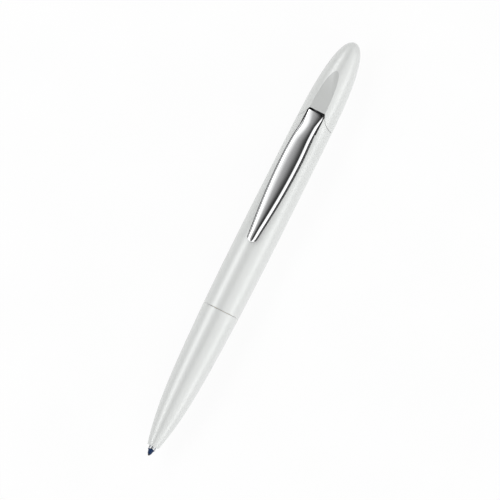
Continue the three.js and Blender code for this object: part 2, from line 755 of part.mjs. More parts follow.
// Ink pad: a rounded bar with a tray for the felt, hinged at the head by a narrow neck
function padSection(from, to) {
  return toSolid(turned([[from, 0], [from, bundleRadius], [to, bundleRadius], [to, 0]]))
    .intersect(toSolid(block(from - 1, to + 1, -cutReach, cutReach, holderFace, padBackHeight)));
}
const barFront = plateStart + padEndCapLength + gap;
const padBar = padSection(barFront, padBarEnd);
const padTray = toSolid(block(barFront + 0.6, padBarEnd - 0.6, -trayHalf, trayHalf,
  0, padBack + padClear));
const padNeck = toSolid(block(padBarEnd - 0.5, padPinAt, -padNeckHalf, 0, padPinHeight - 0.7,
  padPinHeight + 0.7));
const padKnuckle = toSolid(crossRod(padPinAt, padPinHeight, padKnuckleRadius, -padNeckHalf, 0));
add('pad_holder', toGeometry(padBar.subtract(padTray).add(padNeck).add(padKnuckle)
  .subtract(toSolid(crossRod(padPinAt, padPinHeight, padPinRadius + 0.15, -cutReach, cutReach)))),
blackPlastic);
const trayFront = barFront + 0.6;
const trayEnd = padBarEnd - 0.6;
add('ink_pad', block(trayFront + padClear, trayEnd - padClear, -padHalf, padHalf, padFace, padBack),
  inkFelt);
add('pad_end_cap', toGeometry(padSection(plateStart, barFront - gap)), brownPlastic);
add('pad_spring', coil([padPinAt, 0, padPinHeight], 'y', 0.85, coilWire, 0.3, 1.9, coilCurls), steel);
add('pad_pin', toGeometry(toSolid(crossRod(padPinAt, padPinHeight, padPinRadius,
  -cheekOuter + 0.1, cheekOuter - 0.1))), steel);

const part = new THREE.Group();
part.add(pen);
export default part;
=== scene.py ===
# %% [markdown]
# # A stamp pen in Blender
# This file dresses a CAD model of a ballpoint pen whose upper end pulls off as a small stamp.
# The CAD model is loaded first and is never moved. Finer pieces are then built over it with mesh
# operators, each piece gets a material made of nodes, and a soft studio is put around it.
# Each step has a short text that says what the real piece is, and why it is made this way.

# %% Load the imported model
import math
from bisect import bisect_left

import bmesh
import bpy
from mathutils import Matrix, Vector


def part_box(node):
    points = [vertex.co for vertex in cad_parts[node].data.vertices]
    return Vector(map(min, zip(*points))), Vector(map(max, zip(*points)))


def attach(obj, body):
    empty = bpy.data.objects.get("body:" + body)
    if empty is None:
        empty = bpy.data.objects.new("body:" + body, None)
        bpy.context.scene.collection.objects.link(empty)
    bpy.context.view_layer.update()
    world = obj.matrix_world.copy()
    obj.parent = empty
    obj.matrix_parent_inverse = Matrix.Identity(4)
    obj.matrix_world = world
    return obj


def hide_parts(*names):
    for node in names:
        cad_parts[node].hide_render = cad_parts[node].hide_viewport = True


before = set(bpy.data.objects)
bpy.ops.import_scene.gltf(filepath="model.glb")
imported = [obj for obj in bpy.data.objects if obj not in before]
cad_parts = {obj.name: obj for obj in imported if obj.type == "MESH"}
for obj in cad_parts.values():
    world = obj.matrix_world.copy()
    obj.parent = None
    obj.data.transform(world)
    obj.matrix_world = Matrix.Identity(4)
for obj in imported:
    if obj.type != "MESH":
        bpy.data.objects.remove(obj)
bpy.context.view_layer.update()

scene = bpy.context.scene

# %% [markdown]
# ## Measures
# Sizes on a pen are easiest to read in millimetres from the writing tip. Blender works in metres, so
# one helper turns a place along the pen, to its side and above its axis into a point. The tip and the
# height of the axis are measured on the CAD pieces, so the finer pieces land exactly on them. The gap is
# the clearance that the CAD pieces keep from each other.

# %% Places along the pen
MM = 0.001
tip_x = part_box("writing_ball")[0].x
front_low, front_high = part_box("front_section")
axis_z = (front_low.z + front_high.z) / 2
gap = 0.3
nose_at = 3.1
seam_at = 49.3
mouth_at = 112.3
ledge_at = 116.4
crown_at = 140.0
tongue_end = ledge_at - gap


def point(at, side=0.0, up=0.0):
    """A point at a distance from the writing tip, all in millimetres."""
    return Vector((tip_x + at * MM, side * MM, axis_z + up * MM))


print("axis height in mm:", round(axis_z / MM, 4), "tip at x:", round(tip_x, 4))

# %% [markdown]
# ## Outline of the pen
# The shell of the pen is three turned pieces that share one flowing outline: the tapered front
# section, the barrel with its faint belly, and the cap with its domed crown. Each stretch of outline
# is a cubic curve with two pull points, as in a drawing program. The CAD solids have 64 flat sides, so
# the round pieces are made smaller by the cosine of half a side, and stay inside them.

# %% Outline curves
cad_sides = 64
snug = math.cos(math.pi / cad_sides)
nose_radius = 1.87
seam_radius = 5.92
grip_curve = [(nose_at, nose_radius), (16.0, 5.147), (29.6, 5.35), (seam_at, seam_radius)]
barrel_curve = [(seam_at, seam_radius), (69.3, 6.28), (96.4, 6.07), (ledge_at, seam_radius)]
cap_curve = [(mouth_at, seam_radius), (124.5, seam_radius), (crown_at, 4.95), (crown_at, 0.0)]


def on_curve(curve, share):
    """A place and radius on a cubic curve, from share 0 to 1."""
    rest = 1 - share
    weights = (rest ** 3, 3 * rest ** 2 * share, 3 * rest * share ** 2, share ** 3)
    at = sum(weight * knot[0] for weight, knot in zip(weights, curve))
    radius = sum(weight * knot[1] for weight, knot in zip(weights, curve))
    return at, radius * snug


fine_steps = 800
fine_points = {}


def radius_at(curve, at):
    """The curve's radius at one place, read between two of its many fine points."""
    key = tuple(curve)
    if key not in fine_points:
        fine_points[key] = [on_curve(curve, i / fine_steps) for i in range(fine_steps + 1)]
    points = fine_points[key]
    after = min(max(bisect_left(points, (at, 0.0)), 1), fine_steps)
    (start, low), (end, high) = points[after - 1], points[after]
    return low + (high - low) * (at - start) / (end - start)


def along(curve, start, end, steps, inward=0.0):
    """Equal steps along a curve as a list of places and radii."""
    places = [start + (end - start) * i / steps for i in range(steps + 1)]
    return [(at, radius_at(curve, at) - inward) for at in places]


belly_radius = max(radius for _, radius in along(barrel_curve, 50, 112, 60))
print("thickest place:", round(belly_radius, 3), "mm radius")

# %% [markdown]
# ## Shader maths in plain Python
# A procedural material is a small sum: noise times a size, plus a base value. Wiring such sums by hand
# takes many nodes, so one small class wraps a socket and lets Python's operators add the Math nodes.
# Its `make` method adds any other node: its settings first, and then the values or links of its inputs.

# %% A socket with operators
class Wire:
    """An output socket that can be used in sums."""

    def __init__(self, tree, socket=None):
        self.tree = tree
        self.socket = socket

    def make(self, kind, settings=None, inputs=None, output=0):
        """Adds a node and gives back one of its outputs."""
        node = self.tree.nodes.new(kind)
        for name, value in (settings or {}).items():
            if name == "stops":
                fill_ramp(node.color_ramp, value)
            else:
                setattr(node, name, value)
        for name, value in (inputs or {}).items():
            if isinstance(value, Wire):
                self.tree.links.new(value.socket, node.inputs[name])
            else:
                node.inputs[name].default_value = value
        return Wire(self.tree, node.outputs[output])

    def math(self, operation, first, second):
        return self.make("ShaderNodeMath", {"operation": operation}, {0: first, 1: second})

    def __add__(self, other):
        return self.math("ADD", self, other)

    def __radd__(self, other):
        return self.math("ADD", other, self)

    def __sub__(self, other):
        return self.math("SUBTRACT", self, other)

    def __rsub__(self, other):
        return self.math("SUBTRACT", other, self)

    def __mul__(self, other):
        return self.math("MULTIPLY", self, other)

    def __rmul__(self, other):
        return self.math("MULTIPLY", other, self)

    def __truediv__(self, other):
        return self.math("DIVIDE", self, other)

    def __rtruediv__(self, other):
        return self.math("DIVIDE", other, self)

    def axis(self, letter):
        """The X, Y or Z of a place."""
        return self.make("ShaderNodeSeparateXYZ", {}, {"Vector": self}, output=letter)


def fill_ramp(ramp, stops):
    """Sets a colour ramp to a list of places and colours."""
    while len(ramp.elements) > 1:
        ramp.elements.remove(ramp.elements[-1])
    for number, (place, color) in enumerate(stops):
        stop = ramp.elements[0] if number == 0 else ramp.elements.new(place)
        stop.position = place
        stop.color = color


# %% [markdown]
# ## Patterns at a real size
# Every pattern reads Object coordinates, which are metres on these pieces, so a spot can be given its
# real size in millimetres. Stretching the spots along the pen gives brushing, drawing marks and the fine
# lines that a lathe or a cloth leaves.

# %% Patterns
def noise(place, size, detail=2.0, stretch=(1.0, 1.0, 1.0)):
    """Soft spots of about this size in millimetres, stretched along X, Y and Z."""
    scale = [1 / (size * MM * longer) for longer in stretch]
    mapped = place.make("ShaderNodeMapping", {}, {"Vector": place, "Scale": scale})
    return place.make("ShaderNodeTexNoise", {}, {"Vector": mapped, "Scale": 1.0, "Detail": detail})


def cells(place, size):
    """Distance to the middle of small cells of about this size in millimetres."""
    scale = [1 / (size * MM)] * 3
    mapped = place.make("ShaderNodeMapping", {}, {"Vector": place, "Scale": scale})
    return place.make("ShaderNodeTexVoronoi", {}, {"Vector": mapped, "Scale": 1.0})


def blend_colors(factor, first, second):
    """A colour between two colours."""
    return factor.make(
        "ShaderNodeMix",
        {"data_type": "RGBA", "clamp_factor": True},
        {0: factor, 6: first, 7: second},
        output=2,
    )


def bump(height, depth, strength=1.0):
    """A surface normal from a height pattern, with its depth in millimetres."""
    return height.make(
        "ShaderNodeBump", {}, {"Height": height, "Distance": depth * MM, "Strength": strength}
    )


def new_finish(name, **constants):
    """A new material, its place wire, and a function that links what changes over the surface."""
    material = bpy.data.materials.new(name)
    material.use_nodes = True
    tree = material.node_tree
    shader = tree.nodes["Principled BSDF"]
    for socket, value in constants.items():
        shader.inputs[socket.replace("_", " ")].default_value = value
    place = Wire(tree).make("ShaderNodeTexCoord", output="Object")

    def link(**changing):
        for socket, wire in changing.items():
            tree.links.new(wire.socket, shader.inputs[socket.replace("_", " ")])
        print(name, "has", len(tree.nodes), "nodes")

    return material, place, link


# %% [markdown]
# ## White pearl lacquer
# The barrel, cap and front section of such a pen are thin metal tubes with a sprayed white pearl
# lacquer and a clear coat. The white is very slightly green-grey, and its gloss is soft: light bands
# have blurred edges. The pearl is made of flakes far smaller than a millimetre, which vary the colour
# a little and tilt the surface by a hair. A clear coat on the shader gives the second, sharper gloss.

# %% Pearl lacquer
flake_size = 0.11
spray_size = 0.35
lacquer_depth = 0.004
lacquer_relief = 0.25


def sprayed(place, flakes):
    """The faint unevenness that flakes and spray leave in a lacquer."""
    return bump(flakes + 0.5 * noise(place, spray_size), lacquer_depth, lacquer_relief)


pearl_lacquer, place, link = new_finish(
    "pearl_lacquer", Metallic=0.2, Coat_Weight=0.3, Coat_Roughness=0.25, Coat_IOR=1.4
)
flakes = cells(place, flake_size)
clouds = noise(place, 9.0, detail=3.0)
link(
    Base_Color=blend_colors(flakes * 0.5 + clouds * 0.5, (0.575, 0.59, 0.58, 1), (0.625, 0.635, 0.625, 1)),
    Roughness=0.36 + 0.06 * noise(place, 2.5) + 0.03 * flakes,
    Normal=sprayed(place, flakes),
)

# %% [markdown]
# ## Lacquer of the cap's flat
# The flat on the cap looks greyer than the round parts beside it, because it faces the lights differently.
# That shade is painted into its colour: it gets the same flakes and spray with a darker pair of colours,
# and no metal in its shader, so that it stays an even grey.

# %% Lacquer of the cap's flat, darkened as painted shade
shaded_flat_lacquer, place, link = new_finish("shaded_flat_lacquer", Coat_Weight=0.4, Coat_Roughness=0.25)
flakes = cells(place, flake_size)
clouds = noise(place, 6.0)
link(
    Base_Color=blend_colors(flakes * 0.5 + clouds * 0.5, (0.43, 0.44, 0.435, 1), (0.48, 0.49, 0.48, 1)),
    Roughness=0.32 + 0.06 * noise(place, 2.5),
    Normal=sprayed(place, flakes),
)

# %% [markdown]
# ## Chrome
# The clip is plated and polished, so nearly everything seen in it is reflected studio. Real chrome is
# never perfect: faint polishing lines run along it, and fingers leave soft patches that are a little
# rougher. Both are kept small, because the reflections have to stay crisp. The shadow that the cap's
# ledge casts on the clip's root is painted into the colour: the root's last two millimetres darken, more on
# one side than on the other.

# %% Chrome
chrome, place, link = new_finish("chrome", Metallic=1.0)
touched = noise(place, 5.0, detail=4.0)
polish = noise(place, 0.12, stretch=(40.0, 1.0, 1.0))
# Painted shadow: the clip's root darkens towards the cap's ledge, more on one side than on the other.
ledge_shade_length = 1.8
ledge_shade_width = 3.9
ledge_shade_gain = 1.6
ledge_shade_limit = 0.75
ledge_shade_start = (tongue_end - ledge_shade_length) * MM + tip_x
into_corner = (place.axis("X") - ledge_shade_start) / (ledge_shade_length * MM)
to_the_side = place.axis("Y") / (ledge_shade_width * MM)
corner_shade = ledge_shade_gain * into_corner - to_the_side - ledge_shade_limit
clean = blend_colors(touched, (0.86, 0.87, 0.875, 1), (0.91, 0.915, 0.92, 1))
link(
    # The base colour turns near-black where the ledge's shadow is painted.
    Base_Color=blend_colors(corner_shade, clean, (0.03, 0.03, 0.03, 1)),
    Roughness=0.07 + 0.05 * touched + 0.03 * polish,
    Normal=bump(polish, 0.0006, 0.3),
)

# %% [markdown]
# ## Shaded edge of the chrome
# The side walls, outer bevel and underside of the clip get a near-black metal: painted shade for the gap
# above the barrel, which is seen as a thin dark line beside the bright bevel. The same dark metal is the
# writing ball and the socket that holds it, and on the clip's anchor it paints the shade under the cap's
# ledge.

# %% Dark chrome
# Near-black metal: painted shade on the clip and its anchor, and the real dark metal of the ball and its
# socket.
shade_and_dark_metal, place, link = new_finish("shade_and_dark_metal", Metallic=0.9)
mottling = noise(place, 0.8, detail=5.0)
link(
    Base_Color=blend_colors(mottling, (0.02, 0.02, 0.021, 1), (0.07, 0.07, 0.072, 1)),
    Roughness=0.3 + 0.25 * mottling,
    Normal=bump(noise(place, 0.1), 0.002, 0.4),
)

# %% [markdown]
# ## Steel, brass and the blue tip
# The collar of the tip, the pins and the springs are bright nickel-plated steel. Bushes and refill tube
# are turned brass. Both keep the fine rings of the lathe, which run around the pen, so the pattern
# is short along X and very long across it. The tip itself is dark blue and glossy.

# %% Metals inside and at the tip
lathe_rings = (1.0, 60.0, 60.0)
steel, place, link = new_finish("steel", Metallic=1.0)
rings = noise(place, 0.12, stretch=lathe_rings)
stains = noise(place, 3.0, detail=4.0)
link(
    Base_Color=blend_colors(stains, (0.32, 0.33, 0.34, 1), (0.45, 0.46, 0.47, 1)),
    Roughness=0.14 + 0.1 * rings + 0.06 * stains,
    Normal=bump(rings, 0.0015, 0.3),
)

brass, place, link = new_finish("brass", Metallic=1.0)
rings = noise(place, 0.15, stretch=lathe_rings)
tarnish = noise(place, 2.5, detail=5.0)
link(
    Base_Color=blend_colors(tarnish, (0.50, 0.36, 0.16, 1), (0.75, 0.60, 0.32, 1)),
    Roughness=0.22 + 0.12 * rings + 0.12 * tarnish,
    Normal=bump(rings, 0.0025, 0.4),
)

navy_metal, place, link = new_finish("navy_metal", Metallic=0.0, Specular_IOR_Level=0.25)
rings = noise(place, 0.1, stretch=lathe_rings)
link(
    Base_Color=blend_colors(noise(place, 0.8), (0.0, 0.014, 0.055, 1), (0.001, 0.022, 0.085, 1)),
    Roughness=0.24 + 0.1 * rings,
    Normal=bump(rings, 0.002, 0.3),
)

# %% [markdown]
# ## Moulded plastics
# Arm, brackets, plate and pad holder are moulded. A mould leaves a fine spark-eroded grain, and handling
# polishes it in soft patches, so the gloss changes slowly over a piece while the grain stays fine.

# %% Plastics
def moulded(name, dark, light, gloss, grain=0.14):
    """A moulded plastic with a fine grain and patches of handling."""
    material, place, link = new_finish(name, Specular_IOR_Level=0.45)
    speckle = noise(place, grain, detail=3.0)
    handled = noise(place, 4.0, detail=3.0)
    link(
        Base_Color=blend_colors(0.7 * handled + 0.3 * speckle, dark, light),
        Roughness=gloss + 0.12 * handled + 0.08 * speckle,
        Normal=bump(speckle, 0.012, 0.35),
    )
    return material


black_plastic = moulded("black_plastic", (0.018, 0.018, 0.021, 1), (0.045, 0.045, 0.05, 1), 0.33)
brown_plastic = moulded("brown_plastic", (0.055, 0.032, 0.026, 1), (0.12, 0.075, 0.06, 1), 0.38)
white_plastic = moulded("white_plastic", (0.66, 0.66, 0.64, 1), (0.78, 0.78, 0.76, 1), 0.42, grain=0.3)

# %% [markdown]
# ## Foam, rubber and felt
# The soft layers of the stamp are told apart by their surface. Foam shows cut cells, so it takes a
# cell pattern as its height. Stamp rubber is matt and slightly dusty from the moulding powder. Felt is a
# tangle of short fibres, which two crossed and stretched noises make, and ink darkens it in patches.

# %% Soft finishes
foam, place, link = new_finish("foam", Roughness=0.95, Specular_IOR_Level=0.2)
bubbles = cells(place, 0.16)
link(
    Base_Color=blend_colors(bubbles, (0.025, 0.027, 0.035, 1), (0.085, 0.09, 0.11, 1)),
    Normal=bump(bubbles, 0.05, 0.6),
)

die_rubber, place, link = new_finish("die_rubber", Specular_IOR_Level=0.3)
powder = noise(place, 0.6, detail=6.0)
link(
    Base_Color=blend_colors(powder, (0.13, 0.17, 0.22, 1), (0.26, 0.31, 0.37, 1)),
    Roughness=0.62 + 0.2 * powder,
    Normal=bump(noise(place, 0.08), 0.006, 0.4),
)

ink_felt, place, link = new_finish("ink_felt", Specular_IOR_Level=0.25)
fibres = noise(place, 0.07, stretch=(9.0, 1.0, 1.0)) * noise(place, 0.07, stretch=(1.0, 9.0, 1.0))
soaked = noise(place, 3.5, detail=3.0)
link(
    Base_Color=blend_colors(soaked + 0.5 * fibres, (0.008, 0.008, 0.014, 1), (0.05, 0.045, 0.055, 1)),
    Roughness=0.55 + 0.4 * soaked,
    Normal=bump(fibres, 0.09, 0.8),
)

# %% [markdown]
# ## Studio
# The photograph is a product shot on white: no horizon, hardly a shadow, and two long soft lights whose
# reflections run down both sides of the barrel. A pen is almost a cylinder, so only the angle around its
# axis decides what it reflects. The sky of this scene is therefore a ramp over that angle: dark beside
# the camera, bright on both sides. The chrome turns that ramp into its light and dark halves.
# The camera has a very long lens, because the photograph shows almost no perspective. It is aimed so
# that the writing tip and the pen's lean fall where the photograph has them.

# %% Camera
image_side = 500
pixels_per_mm = 3.296
tip_pixel = (148.4, 455.5)
lean = math.radians(26.65)
clip_turn = math.radians(12.9)
toward_camera = Vector((0, -math.sin(clip_turn), math.cos(clip_turn)))
pen_way = Vector((1, 0, 0))
pen_right = pen_way.cross(toward_camera)
camera_up = math.cos(lean) * pen_way - math.sin(lean) * pen_right
camera_right = math.sin(lean) * pen_way + math.cos(lean) * pen_right
center_right = (image_side / 2 - tip_pixel[0]) / pixels_per_mm
center_up = (tip_pixel[1] - image_side / 2) / pixels_per_mm
target = point(0) + (camera_right * center_right + camera_up * center_up) * MM
camera_distance = 1.8
sensor_width = 36
camera_data = bpy.data.cameras.new("camera")
camera_data.sensor_width = sensor_width
camera_data.lens = sensor_width * camera_distance / (image_side / pixels_per_mm * MM)
camera_data.clip_end = 20
camera = bpy.data.objects.new("camera", camera_data)
scene.collection.objects.link(camera)


def facing(right, up, back, location):
    """A placing matrix from three directions and a location."""
    turn = Matrix((right, up, back)).transposed().to_4x4()
    return Matrix.Translation(location) @ turn


camera_place = target + toward_camera * camera_distance
camera.matrix_world = facing(camera_right, camera_up, toward_camera, camera_place)
scene.camera = camera
print("lens in mm:", round(camera_data.lens, 1))

# %% [markdown]
# ## Sky
# The sky is the world's background. The angle around the pen comes from the sky direction's shares to
# the pen's right and to the camera, and a colour ramp turns it into brightness. Its steps were set
# until the lacquer's bands and the clip's reflections lay as in the photograph.

# %% Sky of the studio
sky = bpy.data.worlds.new("studio_sky")
scene.world = sky
sky.use_nodes = True
sky_wire = Wire(sky.node_tree).make("ShaderNodeTexCoord", output="Generated")


def share_of(direction):
    """How far a sky direction points along a given one."""
    return sky_wire.make(
        "ShaderNodeVectorMath", {"operation": "DOT_PRODUCT"}, {0: sky_wire, 1: direction}, output="Value"
    )


def grey(value):
    return (value, value, value, 1)


around = sky_wire.math("ARCTAN2", share_of(pen_right), share_of(toward_camera))
turn_share = around / (2 * math.pi) + 0.5
# Degrees around the pen, from 0 at the camera and up towards its right, and the brightness there
sky_steps = [
    (-180, 0.8), (-90, 0.7), (-86, 0.1), (-80, 0.1), (-74, 1.3), (-44, 1.3), (-36, 0.95), (-31, 0.45),
    (-24, 0.3), (-16, 0.05), (-4, 0.0), (4, 0.75), (12, 1.25), (42, 1.25), (50, 1.6), (68, 1.6), (74, 0.0),
    (84, 0.0), (90, 0.7), (180, 0.8),
]
sky_color = turn_share.make(
    "ShaderNodeValToRGB",
    {"stops": [(degrees / 360 + 0.5, grey(level)) for degrees, level in sky_steps]},
    {"Fac": turn_share},
)
# The two ends of the sky, which the pen's tip and crown reflect, are an even light grey
lengthwise = share_of(pen_way)
ends_start = 0.8
ends_gain = 6.0
sky_light = blend_colors((lengthwise * lengthwise - ends_start) * ends_gain, sky_color, grey(0.95))
sky.node_tree.links.new(sky_light.socket, sky.node_tree.nodes["Background"].inputs["Color"])
sky.node_tree.nodes["Background"].inputs["Strength"].default_value = 1.0
scene.view_settings.view_transform = "Standard"
print("sky steps:", len(sky_steps))

# %% [markdown]
# ## Floor
# The floor is a light table under the pen: a pale sheet that glows from below, as the table for such
# product shots does, so that hardly any shadow is left.

# %% Floor
floor_half = 3.0
floor_mesh = bmesh.new()
bmesh.ops.create_grid(floor_mesh, x_segments=1, y_segments=1, size=floor_half)
floor_data = bpy.data.meshes.new("floor")
floor_mesh.to_mesh(floor_data)
floor_mesh.free()
floor = bpy.data.objects.new("floor", floor_data)
scene.collection.objects.link(floor)
floor_paper, place, link = new_finish(
    "floor_paper", Roughness=0.95, Specular_IOR_Level=0.1, Emission_Color=(1, 1, 1, 1), Emission_Strength=0.93
)
link(Base_Color=blend_colors(noise(place, 30.0, detail=4.0), (0.04, 0.04, 0.04, 1), (0.06, 0.06, 0.06, 1)))
floor_data.materials.append(floor_paper)
print("floor width in metres:", 2 * floor_half)

# %% [markdown]
# ## Lamps
# Two long soft lamps hang above the table, one on each side of the pen and in line with it, and draw the
# two long highlights on the lacquer. Their length makes the highlights run from end to end.

# %% Lamps
strip_distance = 0.7
strip_length = 1.1
strip_width = 0.2


def strip_lamp(name, degrees, power):
    """A long soft lamp aimed at the pen's middle, at degrees that count as in the sky."""
    lamp_data = bpy.data.lights.new(name, "AREA")
    lamp_data.shape = "RECTANGLE"
    lamp_data.size = strip_length
    lamp_data.size_y = strip_width
    lamp_data.energy = power
    lamp = bpy.data.objects.new(name, lamp_data)
    scene.collection.objects.link(lamp)
    turn = math.radians(degrees)
    way = toward_camera * math.cos(turn) + pen_right * math.sin(turn)
    lamp_place = point(crown_at / 2) + way * strip_distance
    lamp.matrix_world = facing(pen_way, way.cross(pen_way), way, lamp_place)
    print(name, "at", degrees, "degrees with", power, "watts")


strip_lamp("left_strip", -52, 2.0)
strip_lamp("right_strip", 66, 1.4)

# %% [markdown]
# ## Making pieces
# Three helpers do most of the shaping. `turned` spins an outline around the pen's axis, as a lathe
# would. `cut` takes one shape away from another with a Boolean. `show` gives the result its finish, and
# says which CAD body it moves with and which CAD nodes it stands for.

# %% Turning, cutting and showing
weld_distance = 1e-7
sharp_angle = math.radians(35.0)
crease_degrees = 32.0


def turned(outline, steps=144, closed=True, soften=0.0):
    """A mesh turned around the pen's axis from a list of places and radii."""
    mesh = bmesh.new()
    verts = [mesh.verts.new(point(at, 0, radius)) for at, radius in outline]
    edges = [mesh.edges.new(pair) for pair in zip(verts, verts[1:])]
    if closed:
        edges.append(mesh.edges.new((verts[-1], verts[0])))
    bmesh.ops.spin(
        mesh, geom=verts + edges, cent=point(0), axis=(1, 0, 0), angle=2 * math.pi, steps=steps,
        use_merge=True,
    )
    bmesh.ops.remove_doubles(mesh, verts=mesh.verts, dist=weld_distance)
    bmesh.ops.recalc_face_normals(mesh, faces=mesh.faces)
    if soften:
        ease_edges(mesh, soften)
    return mesh


def ease_edges(mesh, width, segments=2):
    """Rounds the edges where two faces meet at more than the sharp angle."""
    sharp = [
        edge for edge in mesh.edges
        if len(edge.link_faces) == 2 and edge.calc_face_angle() > sharp_angle
    ]
    bmesh.ops.bevel(
        mesh, geom=sharp, offset=width * MM, offset_type="OFFSET", segments=segments, profile=0.5,
        affect="EDGES", clamp_overlap=True, material=-1,
    )


def drawn(outline, low, high):
    """A plate drawn in plan (place, side) and raised from one height to another."""
    mesh = bmesh.new()
    corners = [mesh.verts.new(point(at, side, low)) for at, side in outline]
    face = mesh.faces.new(corners)
    raised = bmesh.ops.extrude_face_region(mesh, geom=[face])
    tops = [item for item in raised["geom"] if isinstance(item, bmesh.types.BMVert)]
    bmesh.ops.translate(mesh, verts=tops, vec=(0, 0, (high - low) * MM))
    bmesh.ops.recalc_face_normals(mesh, faces=mesh.faces)
    return mesh


def box(start, end, left, right, low, high):
    """A block between two places, two sides and two heights."""
    return drawn([(start, left), (end, left), (end, right), (start, right)], low, high)


def as_object(name, mesh):
    """An object in the scene from a mesh."""
    data = bpy.data.meshes.new(name)
    mesh.to_mesh(data)
    mesh.free()
    made = bpy.data.objects.new(name, data)
    scene.collection.objects.link(made)
    return made


def cut(piece, shape):
    """Takes a mesh or an object out of a piece."""
    tool = shape if isinstance(shape, bpy.types.Object) else as_object("cutting_tool", shape)
    step = piece.modifiers.new("cut", "BOOLEAN")
    step.operation = "DIFFERENCE"
    step.solver = "MANIFOLD"
    step.object = tool
    graph = bpy.context.evaluated_depsgraph_get()
    result = bpy.data.meshes.new_from_object(piece.evaluated_get(graph))
    piece.modifiers.clear()
    piece.data = result
    bpy.data.objects.remove(tool)
    measured = bmesh.new()
    measured.from_mesh(piece.data)
    print(piece.name, "after a cut:", round(measured.calc_volume() / MM ** 3, 1), "cubic mm")
    measured.free()


def show(piece, finish, body, slot, *nodes, sharp=crease_degrees):
    """Finishes a piece: its material, smooth faces, and the CAD body it belongs to."""
    data = piece.data
    data.materials.clear()
    data.materials.append(finish)
    for face in data.polygons:
        face.use_smooth = True
    data.set_sharp_from_angle(angle=math.radians(sharp))
    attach(piece, body)
    if nodes:
        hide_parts(*nodes)


# %% [markdown]
# ## Clean reflections after a cut
# A Boolean leaves long thin faces beside its cuts, and a glossy lacquer shows each of them as a crease.
# The turned surface is known exactly, so every corner that lies on it is given the true direction of
# that surface. The edges of the cut keep their own directions and stay crisp.

# %% True normals on turned faces
slope_reach = 0.05
curve_margin = 0.02
least_match = 0.97


def true_normals(piece, curve):
    """Gives the corners on a turned surface the direction of its curve."""
    data = piece.data
    normals = [corner.vector.copy() for corner in data.corner_normals]
    for face in data.polygons:
        for corner in face.loop_indices:
            spot = data.vertices[data.loops[corner].vertex_index].co
            out = Vector((0, spot.y, spot.z - axis_z))
            at = (spot.x - tip_x) / MM
            if out.length == 0 or not curve[0][0] <= at <= curve[-1][0] - curve_margin:
                continue
            rise = radius_at(curve, at + slope_reach) - radius_at(curve, at - slope_reach)
            slope = rise / (2 * slope_reach)
            true = Vector((-slope, 0, 0)) + out.normalized()
            true.normalize()
            if face.normal.dot(true) > least_match:
                normals[corner] = true
    data.normals_split_custom_set(normals)


# %% [markdown]
# ## Front section
# The front section is what the fingers hold: a tapered tube that turns to bring the writing tip out. Its
# nose has a small rounded rim around the opening, and it meets the barrel at a fine dark seam, drawn
# finer here than the clearance of the CAD solids. A spin of its outline gives it, inner steps included,
# because they show when light falls into the nose.

# %% Front section
front_seam = 0.12
front_end = seam_at - front_seam / 2
front_steps = 46
bush_start = 37.0
bush_room = 3.9
spring_start = 13.1
spring_room = 2.6
nose_hole_end = 6.1
nose_hole = 1.48
front_outline = [
    *along(grip_curve, nose_at, front_end, front_steps),
    (front_end, bush_room),
    (bush_start, bush_room),
    (bush_start, spring_room),
    (spring_start, spring_room),
    (nose_hole_end, nose_hole),
    (nose_at, nose_hole),
]
front = as_object("front_shell", turned(front_outline, soften=0.05))
show(front, pearl_lacquer, "front_section", "pearl_lacquer", "front_section")
print("front section faces:", len(front.data.polygons))

# %% [markdown]
# ## Edge of the flare
# On the clip side the cap's lower edge rises in a curve towards the clip, and the barrel carries a tongue
# that fills this flare. One quadratic curve in plan draws both edges. The barrel's tongue is the same
# curve moved back by the width of the seam between the two pieces.

# %% Flare curve
flare_wide = 5.9
flare_bend_wide = 3.5
flare_bend = 1.3
clip_root_half = 2.7


def flare_edge(back, steps=16):
    """One side of the flare, from the mouth up to the ledge, as places and sides."""
    knots = [(mouth_at, flare_wide), (mouth_at + flare_bend, flare_bend_wide), (ledge_at, clip_root_half)]
    edge = []
    for i in range(steps + 1):
        share = i / steps
        weights = ((1 - share) ** 2, 2 * (1 - share) * share, share ** 2)
        at = sum(weight * knot[0] for weight, knot in zip(weights, knots))
        side = sum(weight * knot[1] for weight, knot in zip(weights, knots))
        edge.append((at - back, side - back))
    return edge


print("the flare rises", round(ledge_at - mouth_at, 1), "mm over the mouth")

# %% [markdown]
# ## Barrel
# The barrel is turned up to the end of its tongue. A plate with the tongue's outline cut out of it then
# trims the tube above the mouth, a block trims its lower half, and a last block opens the notch for the
# clip's root. The first two overlap by a millimetre, or a thin sliver would stay between them. The seam
# to the cap is a tight fit on a real pen, so it is drawn finer here than in the CAD model, whose solids
# keep a wider clearance.

# %% Barrel
barrel_front = seam_at + front_seam / 2
seam_width = 0.07
barrel_end = mouth_at - seam_width
barrel_steps = 70
shell_steps = 160
bore = 5.2
past = 10.0
overlap = 1
barrel_outline = [
    *along(barrel_curve, barrel_front, tongue_end, barrel_steps),
    (tongue_end, bore),
    (barrel_front, bore),
]
barrel = as_object("barrel_shell", turned(barrel_outline, steps=shell_steps, soften=0.06))
tongue_edge = flare_edge(seam_width)
trim = [
    (barrel_end, past), (barrel_end + past, past), (barrel_end + past, -past), (barrel_end, -past),
    *[(at, -side) for at, side in tongue_edge],
    *reversed(tongue_edge),
]
cut(barrel, drawn(trim, -overlap, past))
cut(barrel, box(barrel_end, barrel_end + past, -past, past, -past, 0))
notch_start = 109.4
notch_half = clip_root_half + gap
cut(barrel, box(notch_start, ledge_at + overlap, -notch_half, notch_half, 0, past))
show(barrel, pearl_lacquer, "pen_body", "pearl_lacquer", "barrel")
true_normals(barrel, barrel_curve)
print("barrel faces:", len(barrel.data.polygons))
